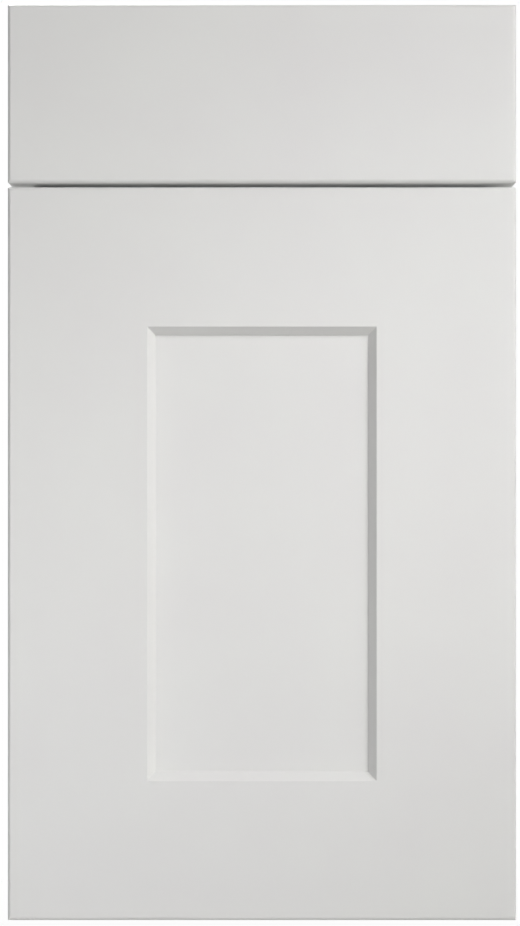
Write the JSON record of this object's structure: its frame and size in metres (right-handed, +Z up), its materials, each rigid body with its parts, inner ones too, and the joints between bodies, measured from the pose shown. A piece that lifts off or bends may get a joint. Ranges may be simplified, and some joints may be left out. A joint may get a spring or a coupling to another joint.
{
  "type": "kitchen cabinet door",
  "caption": "Frame-and-panel kitchen cabinet door with a plain drawer front above it across a narrow gap, joined on the back by a screwed steel plate and bored for concealed hinges.",
  "frame": {"origin": "middle of the bottom edge, halfway between the face and the back of the joining plate", "axes": "+X to the right as seen from the front, +Y from the face to the back, +Z up; the face looks along -Y"},
  "size_m": [0.397, 0.022, 0.715],
  "materials": {
    "painted_board": "satin paint on fibreboard",
    "zinc_steel": "zinc plated",
    "beech": "bare beech"
  },
  "bodies": {
    "root": {"stile_left": "painted_board", "stile_right": "painted_board", "rail_top": "painted_board", "rail_bottom": "painted_board", "centre_panel": "painted_board", "drawer_front": "painted_board", "joining_plate": "zinc_steel", "joining_screws": "zinc_steel", "corner_dowels": "beech"}
  },
  "joints": []
}
